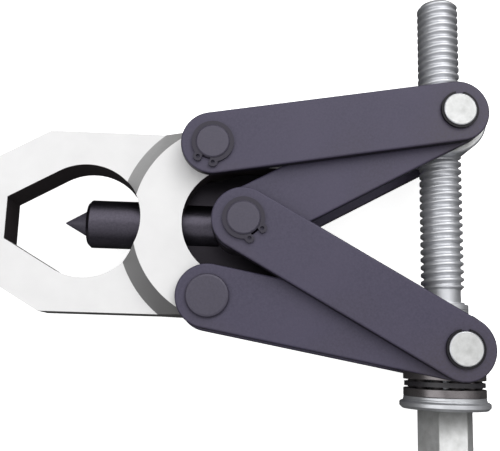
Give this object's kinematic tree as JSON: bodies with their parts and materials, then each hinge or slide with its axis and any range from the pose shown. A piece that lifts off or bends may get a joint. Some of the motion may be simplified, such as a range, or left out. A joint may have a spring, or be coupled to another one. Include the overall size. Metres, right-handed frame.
{
  "type": "ball joint separator",
  "caption": "Screw-driven ball joint separator: a closed jaw with a pointed ram, pushed by toggle links that a hex-ended spindle draws together",
  "frame": {"origin": "middle of the flat seat at the closed end of the jaw, on the middle plane of the tool", "axes": "+X along the ram from the seat towards the spindle, +Y along the spindle away from its hexagon, +Z through the thickness towards the front"},
  "size_m": [0.1953, 0.186, 0.0506],
  "materials": {
    "jaw_steel": "pale satin plating on machined steel",
    "black_steel": "black oxide, half gloss",
    "point_steel": "black oxide on a hardened point",
    "pin_steel": "dark violet-grey satin",
    "spring_steel": "dark phosphate",
    "link_finish": "violet-grey satin",
    "plated_steel": "bright zinc plate",
    "bearing_steel": "ground bearing steel",
    "cage_steel": "dark stamped steel"
  },
  "bodies": {
    "frame": {"frame": "jaw_steel", "upper_frame_pin": "pin_steel", "upper_frame_pin_circlip": "spring_steel", "upper_pin_spacers": "pin_steel", "lower_frame_pin": "pin_steel", "lower_frame_pin_circlip": "spring_steel"},
    "ram": {"ram": "black_steel", "ram_point": "point_steel", "crosshead": "black_steel", "centre_pin": "pin_steel", "centre_pin_circlip": "spring_steel"},
    "upper_outer_links": {"upper_outer_link_front": "link_finish", "upper_outer_link_back": "link_finish"},
    "upper_trunnion": {"upper_trunnion": "plated_steel", "upper_trunnion_rings": "spring_steel"},
    "centre_upper_links": {"centre_upper_link_front": "link_finish", "centre_upper_link_back": "link_finish"},
    "lower_outer_links": {"lower_outer_link_front": "link_finish", "lower_outer_link_back": "link_finish"},
    "lower_trunnion": {"lower_trunnion": "plated_steel", "lower_trunnion_rings": "spring_steel", "bearing_upper_race": "bearing_steel"},
    "centre_lower_links": {"centre_lower_link_front": "link_finish", "centre_lower_link_back": "link_finish"},
    "spindle": {"spindle": "plated_steel", "spindle_washer": "plated_steel", "spindle_snap_ring": "plated_steel", "bearing_lower_race": "bearing_steel"},
    "bearing_cage": {"bearing_cage": "cage_steel", "bearing_balls": "bearing_steel"}
  },
  "joints": [
    {"name": "spindle_turn", "type": "hinge", "parent": "lower_trunnion", "child": "spindle", "pos_m": [0.16351, -0.0428, 0], "axis": [0, 1, 0], "range_deg": [-2520, 2520]},
    {"name": "upper_outer_swing", "type": "hinge", "parent": "frame", "child": "upper_outer_links", "pos_m": [0.0745, 0.027, 0], "axis": [0, 0, 1], "range_deg": [-6.9, 6.9]},
    {"name": "lower_outer_swing", "type": "hinge", "parent": "frame", "child": "lower_outer_links", "pos_m": [0.0745, -0.027, 0], "axis": [0, 0, 1], "range_deg": [-6.76, 6.76]},
    {"name": "upper_trunnion_turn", "type": "hinge", "parent": "upper_outer_links", "child": "upper_trunnion", "pos_m": [0.16351, 0.0428, 0], "axis": [0, 0, 1], "range_deg": [-6.9, 6.9]},
    {"name": "lower_trunnion_turn", "type": "hinge", "parent": "lower_outer_links", "child": "lower_trunnion", "pos_m": [0.16351, -0.0428, 0], "axis": [0, 0, 1], "range_deg": [-6.9, 6.9]},
    {"name": "centre_upper_swing", "type": "hinge", "parent": "upper_trunnion", "child": "centre_upper_links", "pos_m": [0.16351, 0.0428, 0], "axis": [0, 0, 1], "range_deg": [-7.9, 7.9]},
    {"name": "centre_lower_swing", "type": "hinge", "parent": "lower_trunnion", "child": "centre_lower_links", "pos_m": [0.16351, -0.0428, 0], "axis": [0, 0, 1], "range_deg": [-7.9, 7.9]},
    {"name": "ram_slide", "type": "slide", "parent": "frame", "child": "ram", "axis": [1, 0, 0], "range_m": [-0.004, 0.004]},
    {"name": "bearing_cage_turn", "type": "hinge", "parent": "lower_trunnion", "child": "bearing_cage", "pos_m": [0.16351, -0.0428, 0], "axis": [0, 1, 0], "range_deg": [-1261, 1261]}
  ],
  "couplings": [
    {"joint": "upper_outer_swing", "follows": "lower_outer_swing", "ratio": -1},
    {"joint": "spindle_turn", "follows": "lower_outer_swing", "ratio": 372.25},
    {"joint": "upper_trunnion_turn", "follows": "lower_outer_swing", "ratio": 1},
    {"joint": "lower_trunnion_turn", "follows": "lower_outer_swing", "ratio": -1},
    {"joint": "centre_upper_swing", "follows": "lower_outer_swing", "ratio": -1.1513},
    {"joint": "centre_lower_swing", "follows": "lower_outer_swing", "ratio": 1.1513},
    {"joint": "ram_slide", "follows": "lower_outer_swing", "m_per_rad": -0.033445},
    {"joint": "bearing_cage_turn", "follows": "lower_outer_swing", "ratio": 186.13}
  ]
}
